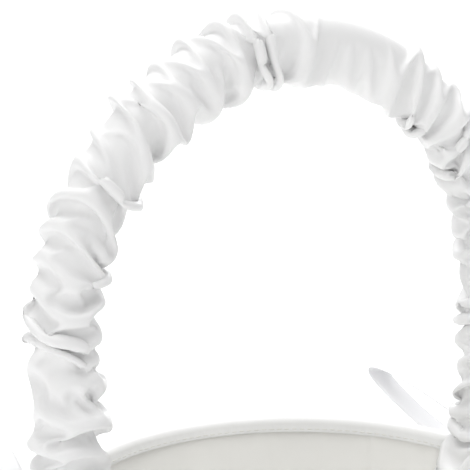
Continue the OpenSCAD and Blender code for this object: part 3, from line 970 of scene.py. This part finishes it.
def handle_sleeve(sizes):
    """The settled sleeve: points, kept faces and the flat size of its cloth.

    The tube is slit at both ends where it straddles the rim. Its outer part hangs over the tab and
    rivets and is held at its hem; its inner part is laid down the lining. Gravity draws the
    gathers down the legs while they rest on the padded core.
    """
    path = HandlePath(sizes.lean)
    columns = sizes.columns
    turn = ring_angles(columns)
    whole = path.total + 2 * sizes.outer_drop
    long = whole + (sizes.gather - 1) * (whole - 2.4 * sizes.smooth_half)
    rows = sizes.rows
    x, u = gathered_tube(path, sizes, rows, turn)
    along = long / (rows - 1)
    snug = np.exp(-((u - path.total * sizes.smooth_at) / sizes.smooth_half) ** 4)
    around = (sizes.around / columns * (1 - sizes.snug * snug))[:, None]
    rng = np.random.default_rng(3)
    x += rng.normal(0, 0.03 * MM, x.shape)

    inner = np.cos(turn) < math.cos(FLAP_FROM)
    near = np.minimum(u, path.total - u)
    slit_at = (RIM_Z - WALL_TOP) + RIM_CLEAR
    joined = np.ones((rows, columns))
    edge = inner != np.roll(inner, -1)
    joined[np.ix_(near < slit_at, edge)] = 0
    inner_end = near < -sizes.inner_drop
    fixed = np.zeros((rows, columns), bool)
    fixed[np.ix_([0, rows - 1], ~inner)] = True
    last_left = int(np.argmax(~inner_end))
    last_right = rows - 1 - int(np.argmax(~inner_end[::-1]))
    fixed[np.ix_([last_left, last_right], inner)] = True

    lining = WALL_STACK + LINING_ROOM

    def off_wall(z):
        """Radii that the outer and inner parts keep to, outside the binding and inside the lining."""
        lap = BINDING_R - 2.25 * MM
        at_binding = ease(z, BINDING_LOW - 1.5 * MM, BINDING_LOW)
        outside = cover_r(z) + 0.75 * MM + lap * at_binding
        return outside, cover_r(z) - lining - 0.55 * MM - 0.4 * MM * at_binding

    def place_hem(row, below, part_of, wide, deep, sign):
        """Lays a hem row on the wall in small pleats: a flattened arc, wide by deep, with a ripple."""
        side = -1.0 if row < rows / 2 else 1.0
        z = WALL_TOP - below
        spin = turn[part_of]
        centred = np.mod(spin + np.pi, 2 * np.pi) - np.pi if sign > 0 else spin - np.pi
        share_of = centred / np.abs(centred).max()
        y = sign * wide * np.sin(share_of * np.pi / 2)
        outside, inside = off_wall(np.float64(z))
        if sign > 0:
            r = outside + 0.25 * MM + deep * np.cos(share_of * np.pi / 2) ** 0.8
            r = r + 0.35 * MM * np.sin(share_of * 16)
        else:
            r = inside - 0.25 * MM - 0.3 * MM * (1 + np.sin(share_of * 11))
        x_at = np.sqrt(np.maximum(r ** 2 - y ** 2, 0)) * side
        x[row, part_of] = np.stack([x_at, y, z + 0.4 * MM * np.sin(share_of * 9)], -1)

    for row in (0, rows - 1):
        place_hem(row, sizes.outer_drop, ~inner, 8.3 * MM, 3.0 * MM, 1)
    for row in (last_left, last_right):
        place_hem(row, sizes.inner_drop, inner, 9.0 * MM, 0, -1)

    def keep_off(points, before):
        """Holds the cloth outside the padded core, the tab and the wall. Cloth on the core grips it."""
        centre, up = path.nearest(points)
        core = (FOAM_R + 0.35 * MM) * ease(up, 1 * MM, 4 * MM)
        core = np.maximum(core, 3.4 * MM * ease(up, -17 * MM, -14 * MM))
        away = points - centre
        size = np.sqrt(np.einsum("...k,...k->...", away, away)) + 1e-9
        hit = size < core
        points[hit] = (centre + away * (core / size)[..., None])[hit] * 0.5 + before[hit] * 0.5
        z = points[..., 2]
        radius = np.hypot(points[..., 0], points[..., 1]) + 1e-9
        over = np.hypot(radius - CREST_R, z - WALL_TOP) + 1e-9
        clear = BINDING_R + RIM_CLEAR
        crest = (z >= WALL_TOP) & (over < clear)
        new_r = np.where(crest, CREST_R + (radius - CREST_R) * clear / over, radius)
        new_z = np.where(crest, WALL_TOP + (z - WALL_TOP) * clear / over, z)
        outside, inside = off_wall(new_z)
        tab = TAB_OUT * (1 - ease(np.abs(points[..., 1]), 6.0 * MM, 7.5 * MM))
        outside = outside + tab * (1 - ease(new_z, BINDING_LOW, BINDING_LOW + 2 * MM))
        below = new_z < WALL_TOP
        new_r = np.where(below & ~inner[None], np.maximum(new_r, outside), new_r)
        new_r = np.where(below & inner[None], np.minimum(new_r, inside), new_r)
        points[..., 0] *= new_r / radius
        points[..., 1] *= new_r / radius
        points[..., 2] = new_z

    spare = np.zeros((rows, columns), bool)
    spare[np.ix_(inner_end, inner)] = True
    fixed |= spare
    ends = ((last_left, np.arange(last_left)), (last_right, np.arange(last_right + 1, rows)))
    for hem, beyond in ends:
        below = np.abs(beyond - hem)[:, None, None] * along * np.array([0.0, 0.0, -1.0])
        x[beyond[:, None], np.nonzero(inner)[0][None]] = x[hem, inner][None] + below

    def weight(points):
        """A steady pull downwards."""
        return np.array([0.0, 0.0, -0.004 * MM])

    rounds = sizes.rounds
    gap = 0.95 * along
    x = settle_cloth(x, along, around, joined, fixed, keep_off, weight, rounds, gap, 0.9, SLEEVE_BEND)
    keep = (joined > 0)[:-1] & (joined > 0)[1:]
    gone = spare | np.roll(spare, -1, 1)
    keep &= ~(gone[:-1] | gone[1:])
    return x, keep, (long, sizes.around)


class BASKET_OT_sleeve(bpy.types.Operator):
    """Makes the gathered satin sleeve of the handle"""

    bl_idname = "basket.sleeve"
    bl_label = "Gathered handle sleeve"

    def execute(self, context):
        points, keep, cloth = handle_sleeve(context.scene.basket_sleeve)
        sleeve = grid_piece("handle_sleeve_satin", points, cloth, keep=keep, flip=True)
        give_thickness(sleeve, 0.25 * MM)
        dress(sleeve, cloth_of("sleeve_satin"), "sleeve_satin", "handle_sleeve")
        return {"FINISHED"}


# ---- The bows ----

def ribbon_piece(name, path, start_x, sizes, side, twist=None, cut=0.0):
    """A ribbon that follows a path in the plane of the bow, its width standing outwards from the basket.

    Across its width the ribbon is a shallow arch; twist turns the width direction about the path,
    from outwards towards the path's own normal, by an angle for each point; cut slants the end.
    """
    across = np.linspace(0, 1, 9)
    way = np.gradient(path, axis=0)
    way /= np.linalg.norm(way, axis=1, keepdims=True) + 1e-12
    normal = np.stack([-way[:, 1], way[:, 0]], -1)
    twist = np.zeros(len(path)) if twist is None else twist
    arch = sizes.cup * (1 - (2 * across - 1) ** 2)
    offset = (across - 0.5) * sizes.width
    out = offset[None] * np.cos(twist)[:, None] - arch[None] * np.sin(twist)[:, None]
    along_n = offset[None] * np.sin(twist)[:, None] + arch[None] * np.cos(twist)[:, None]
    y = path[:, :1] + normal[:, :1] * along_n
    z = path[:, 1:] + normal[:, 1:] * along_n
    if cut:
        fade = np.linspace(0, 1, len(path))[:, None] ** 6
        slide = -cut * across[None] * fade
        y = y + way[:, :1] * slide
        z = z + way[:, 1:] * slide
    x = side * (start_x + sizes.width / 2 + out)
    points = np.stack([x, y, z], -1)
    size = float(np.linalg.norm(np.diff(path, axis=0), axis=1).sum())
    piece = grid_piece(name, points, (size, sizes.width), closed=False, flip=side < 0)
    give_thickness(piece, sizes.thick, 0.0)
    return piece, size


def loop_path(side, long, high, tilt, root, room, count=120):
    """A ribbon loop: an egg outline, fuller near the knot and sharp at its tip, turned up by its tilt.

    Outline: (long / 2 (1 - cos t), high / 2 sin t (1 + 0.25 cos t)), from the knot round and back.
    """
    t = np.linspace(0.0, 2 * np.pi, count)
    px = long / 2 * (1 - np.cos(t))
    py = -high / 2 * np.sin(t) * (1 + 0.25 * np.cos(t))
    c, s = math.cos(tilt), math.sin(tilt)
    y = root + px * c - py * s
    z = room + px * s + py * c
    return np.stack([side * y, z], -1)


def bow(side, loops, sizes, word):
    """One bow: a ribbon of two loops, two tails and the wrap round the knot."""
    name = "bow_loops_" + word
    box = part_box(name)
    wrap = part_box("bow_wrap_" + word)
    start_x = float(box[0][0]) if side > 0 else -float(box[1][0])
    knot_z = (float(wrap[0][2]) + float(wrap[1][2])) / 2
    root, room = 6.5 * MM, 0.7 * MM
    first = loop_path(*loops[0], root, room)
    second = loop_path(*loops[1], root, room)
    middle = np.array([[first[-1, 0] * 0.4, 1.05 * MM], [0.0, 0.85 * MM], [second[0, 0] * 0.4, 0.65 * MM]])
    lead = np.array([[-5 * MM, 0.45 * MM], [0.0, 0.4 * MM]])
    end = np.array([[0.0, 1.15 * MM], [5 * MM, 1.2 * MM]])
    path = np.concatenate([lead, first, middle, second, end])
    path = softened(spaced(path, 420), 6) + np.array([0, knot_z])
    run = np.linspace(0, 1, len(path))
    twist = 0.10 * np.sin(2 * np.pi * 1.7 * run + 0.6) + 0.07 * np.sin(2 * np.pi * 4.3 * run)
    ribbon, size = ribbon_piece(name + "_ribbon", path, start_x, sizes, side, twist)
    dress(ribbon, cloth_of("ribbon"), "ribbon", name)
    wide, knot_ribbon = round(sizes.width, 6), "bow_wrap_" + word + "_ribbon"

    low = reach("bow_tails_" + word, 0, 2)
    for way, bend in ((-1, 0.9), (1, 1.25)):
        t = np.linspace(0, 1, 150)
        drop = (knot_z - low) * t
        spread = 3.8 * MM + (15.0 * MM * ease(t, 0.0, 1.0) ** 1.15) * (0.9 if way < 0 else 1.0)
        sway = 1.3 * MM * np.sin(2 * np.pi * (1.15 * t * bend + 0.1 * way)) * ease(t, 0.15, 0.6)
        spread = spread * ease(t, -0.02, 0.05) + sway
        tail = np.stack([way * spread, knot_z - 0.8 * MM - drop], -1)
        tail = softened(spaced(tail, 140), 3)
        twist = -way * 0.5 * bend * ease(np.linspace(0, 1, len(tail)), 0.1, 0.9)
        piece, tail_size = ribbon_piece(
            "bow_tail_%s_%s" % (word, "a" if way < 0 else "b"), tail, start_x, sizes, side, twist, cut=7 * MM
        )
        dress(piece, cloth_of("ribbon"), "ribbon", "bow_tails_" + word)

    knot = bow_wrap(wrap, side, sizes)
    piece = grid_piece(knot_ribbon, knot, (sizes.width, 0.036), flip=side > 0)
    give_thickness(piece, sizes.thick)
    dress(piece, cloth_of("ribbon"), "ribbon", "bow_wrap_" + word)


def bow_wrap(wrap, side, sizes):
    """The ribbon wrapped round the knot: a rounded oblong loop carried across the bow.

    It is drawn in at the middle, and length-wise creases, strongest at the edges, gather its width.
    """
    low, high = np.array(wrap[0]), np.array(wrap[1])
    middle, half = (low + high) / 2, (high - low) / 2
    across = np.linspace(-1, 1, 29)
    t = ring_angles(72)
    power = 0.42
    ox = np.sign(np.cos(t)) * np.abs(np.cos(t)) ** power
    oz = np.sign(np.sin(t)) * np.abs(np.sin(t)) ** power
    pinch = 1 - 0.07 * (1 - across ** 2)
    crease = 0.22 * MM * np.sin(across * 9.5)[:, None] * (0.6 + 0.4 * np.cos(2 * t + 0.6))[None]
    x = middle[0] + (half[0] * ox)[None] * pinch[:, None] + crease * ox[None]
    z = middle[2] + (half[2] * oz)[None] * (pinch[:, None] + 0.1) + crease * oz[None]
    y = middle[1] + half[1] * across[:, None] * 1.05 + 0.25 * MM * np.sin(2 * t)[None]
    return np.stack([x, y, z], -1)


class BASKET_OT_bows(bpy.types.Operator):
    """Makes the two satin ribbon bows at the handle's feet"""

    bl_idname = "basket.bows"
    bl_label = "Ribbon bows"

    def execute(self, context):
        sizes = context.scene.basket_ribbon
        right = [(1, 70 * MM, 14 * MM, math.radians(16)), (-1, 64 * MM, 20 * MM, math.radians(8))]
        left = [(1, 46 * MM, 34 * MM, math.radians(55)), (-1, 64 * MM, 20 * MM, math.radians(10))]
        bow(1, right, sizes, "right")
        bow(-1, left, sizes, "left")
        return {"FINISHED"}


# ---- The stage ----

def area_light(name, place, aim, size, power, tone=(1, 1, 1)):
    """A rectangular soft light at a place, aimed at a point."""
    lamp = bpy.data.lights.new(name, "AREA")
    lamp.shape = "RECTANGLE"
    lamp.size, lamp.size_y = size
    lamp.energy = power
    lamp.color = tone
    thing = bpy.data.objects.new(name, lamp)
    bpy.context.scene.collection.objects.link(thing)
    thing.location = place
    thing.rotation_euler = (Vector(aim) - Vector(place)).to_track_quat("-Z", "Y").to_euler()


def sweep(width, depth, radius, height, back):
    """A studio sweep: a floor that bends up through a quarter round into a wall behind the basket."""
    bend = np.linspace(0, np.pi / 2, 25)
    y = np.concatenate([[-depth], back - radius + radius * np.sin(bend), [back]])
    z = np.concatenate([[0.0], radius * (1 - np.cos(bend)), [height]])
    x = np.linspace(-width, width, 9)
    gx, gy = np.meshgrid(x, y)
    gz = np.broadcast_to(z[:, None], gx.shape)
    return np.stack([gx, gy, gz], -1)


class BASKET_OT_stage(bpy.types.Operator):
    """Makes the pale floor and backdrop, the soft lights and the camera"""

    bl_idname = "basket.stage"
    bl_label = "Stage, lights and camera"

    def execute(self, context):
        scene = context.scene
        points = sweep(6.0, 6.0, 1.0, 6.0, 3.6)
        c, s = math.cos(-TURN), math.sin(-TURN)
        turned = points.copy()
        turned[..., 0] = points[..., 0] * c - points[..., 1] * s
        turned[..., 1] = points[..., 0] * s + points[..., 1] * c
        floor = grid_piece("floor", turned, (12, 12), closed=False)
        pale = scene.basket_finishes.floor
        floor.data.materials.append(
            plain_finish(
                "pale_floor", tuple(pale), toned(pale, 0.995), 0.9, 6, 0.02, 0.2 * MM, Specular_IOR_Level=0.2
            )
        )

        world = bpy.data.worlds.new("studio")
        scene.world = world
        world.use_nodes = True
        sky = world.node_tree.nodes["Background"]
        sky.inputs["Color"].default_value = (1.0, 1.0, 1.0, 1)
        sky.inputs["Strength"].default_value = 0.45

        area_light("overhead", (-0.1, -0.1, 1.5), (0, 0, 0.1), (1.2, 1.2), 9.5)
        area_light("key_left", (-1.3, -0.5, 0.75), (0, 0, 0.16), (0.45, 0.6), 3.4, (1.0, 0.995, 0.98))
        area_light("back_right", (0.9, 1.0, 0.8), (0, 0, 0.2), (0.4, 0.6), 4.2, (0.97, 0.985, 1.0))
        area_light("backdrop", (0.9, 1.2, 2.8), (1.9, 2.6, 0.5), (3.0, 1.5), 70.0)

        view = bpy.data.cameras.new("camera")
        eye = bpy.data.objects.new("camera", view)
        scene.collection.objects.link(eye)
        scene.camera = eye
        c, s = math.cos(TURN), math.sin(TURN)
        eye.location = (-OFF * c - BACK * s, OFF * s - BACK * c, RIM_Z + RISE)
        ahead = Vector((s * math.cos(DIP), c * math.cos(DIP), -math.sin(DIP)))
        eye.rotation_euler = ahead.to_track_quat("-Z", "Y").to_euler()
        view.sensor_width = SENSOR
        view.lens = FOCAL / FRAME_SIDE * SENSOR
        view.shift_x = 0.5 - ACROSS / FRAME_SIDE
        view.shift_y = UP / FRAME_SIDE - 0.5
        view.clip_start = 0.01
        view.clip_end = 50
        scene.view_settings.view_transform = "Standard"
        return {"FINISHED"}


# ---- The add-on ----

class BASKET_PT_panel(bpy.types.Panel):
    """Lists the pieces of the basket"""

    bl_label = "Flower girl basket"
    bl_idname = "BASKET_PT_panel"
    bl_space_type = "VIEW_3D"
    bl_region_type = "UI"
    bl_category = "Basket"

    def draw(self, context):
        for made in OPERATORS:
            self.layout.operator(made.bl_idname)
        for group in ("basket_body", "basket_sleeve", "basket_ribbon", "basket_finishes"):
            box = self.layout.box()
            values = getattr(context.scene, group)
            for key in values.__annotations__:
                box.prop(values, key)


GROUPS = {
    "basket_body": BodySizes,
    "basket_sleeve": SleeveSizes,
    "basket_ribbon": RibbonSizes,
    "basket_finishes": Finishes,
}
OPERATORS = (
    BASKET_OT_stage,
    BASKET_OT_frame_parts,
    BASKET_OT_outer_cover,
    BASKET_OT_lining,
    BASKET_OT_cushion,
    BASKET_OT_binding,
    BASKET_OT_sleeve,
    BASKET_OT_bows,
)


def register():
    """Registers the property groups, the operators and the panel."""
    for name, group in GROUPS.items():
        bpy.utils.register_class(group)
        setattr(bpy.types.Scene, name, bpy.props.PointerProperty(type=group))
    for made in OPERATORS:
        bpy.utils.register_class(made)
    bpy.utils.register_class(BASKET_PT_panel)


def unregister():
    """Takes them away again."""
    bpy.utils.unregister_class(BASKET_PT_panel)
    for made in reversed(OPERATORS):
        bpy.utils.unregister_class(made)
    for name, group in GROUPS.items():
        delattr(bpy.types.Scene, name)
        bpy.utils.unregister_class(group)


def main():
    """Makes every piece in order."""
    register()
    for made in OPERATORS:
        group, action = made.bl_idname.split(".")
        if getattr(getattr(bpy.ops, group), action)() != {"FINISHED"}:
            raise RuntimeError(made.bl_label + " was not finished")


if __name__ == "__main__":
    main()
